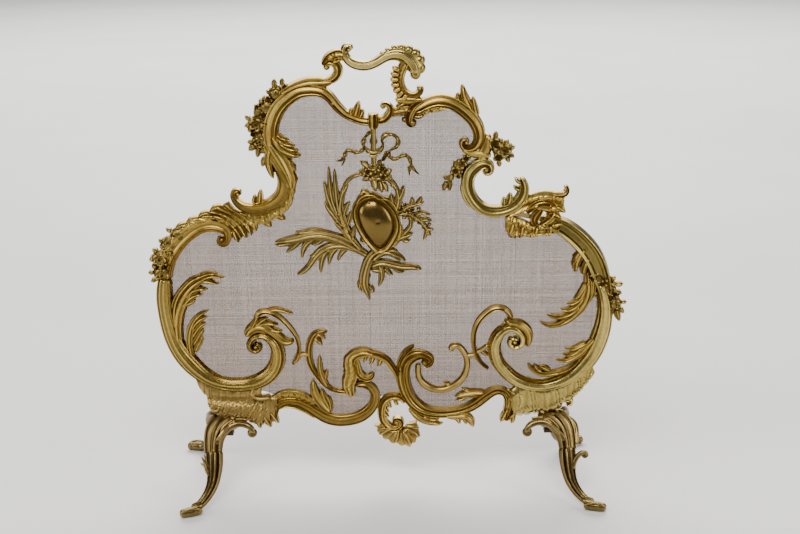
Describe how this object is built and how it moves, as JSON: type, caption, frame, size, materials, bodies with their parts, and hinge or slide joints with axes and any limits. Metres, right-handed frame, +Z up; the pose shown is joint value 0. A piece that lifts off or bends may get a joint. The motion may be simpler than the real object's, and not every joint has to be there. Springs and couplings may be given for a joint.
{
  "type": "fireplace screen",
  "caption": "Free-standing rococo fire screen: cast gilt scroll frame with a carrying handle, woven wire cloth panel, central flower and leaf trophy, and two two-legged feet.",
  "frame": {"origin": "centre of the bounding box in plan, on the floor that the toes stand on", "axes": "+Z up, +X to the right seen from the room, the decorated front faces -Y"},
  "size_m": [0.7392, 0.2478, 0.703],
  "materials": {
    "gilt_brass": "gilt, satin with burnished ridges and dark hollows",
    "polished_gilt": "burnished",
    "wire_cloth": "dull woven wire",
    "plain_brass": "plain, tarnished",
    "iron_bolts": "dark iron"
  },
  "bodies": {
    "root": {"acanthus_left_large": "gilt_brass", "acanthus_left_small": "gilt_brass", "acanthus_right_large": "gilt_brass", "acanthus_right_small": "gilt_brass", "apron_ear_scroll": "gilt_brass", "apron_leaf_left": "gilt_brass", "apron_leaves_right": "gilt_brass", "apron_ring_scroll": "gilt_brass", "apron_scroll_left": "gilt_brass", "apron_scroll_right": "gilt_brass", "apron_shell_centre": "gilt_brass", "cartouche_dome": "polished_gilt", "cartouche_rim": "gilt_brass", "corner_block_left": "gilt_brass", "corner_block_right": "gilt_brass", "crest_arch_right": "gilt_brass", "crest_clasp": "gilt_brass", "crest_hook": "gilt_brass", "crest_link": "gilt_brass", "crest_rail_left": "gilt_brass", "flowers_shoulder_left": "gilt_brass", "flowers_shoulder_right": "gilt_brass", "flowers_side_left": "gilt_brass", "flowers_side_right": "gilt_brass", "foot_bolts": "iron_bolts", "handle_left_scroll": "gilt_brass", "handle_right_scroll": "gilt_brass", "handle_scroll": "gilt_brass", "leg_front_left": "gilt_brass", "leg_front_right": "gilt_brass", "leg_rear_left": "gilt_brass", "leg_rear_right": "gilt_brass", "lower_scroll_left": "gilt_brass", "lower_scroll_right": "gilt_brass", "palm_branch": "gilt_brass", "retaining_strips": "plain_brass", "scroll_leaf_left": "gilt_brass", "scroll_leaves_right": "gilt_brass", "shoulder_cap_right": "gilt_brass", "shoulder_leaf_left": "gilt_brass", "side_rail_upper_left": "gilt_brass", "side_rail_upper_right": "gilt_brass", "strip_screws": "plain_brass", "tendril_left_inner": "gilt_brass", "tendril_left_outer": "gilt_brass", "tendril_right_lower": "gilt_brass", "tendril_right_upper": "gilt_brass", "trophy_acanthus_left": "gilt_brass", "trophy_flower_branch": "gilt_brass", "trophy_flowers": "gilt_brass", "trophy_ribbon": "gilt_brass", "trophy_rod": "gilt_brass", "trophy_stem": "gilt_brass", "trophy_studs": "plain_brass", "waist_scroll_left": "gilt_brass", "waist_scroll_right": "gilt_brass", "waist_shell_left": "gilt_brass", "waist_shell_right": "gilt_brass", "wire_cloth": "wire_cloth"}
  },
  "joints": []
}
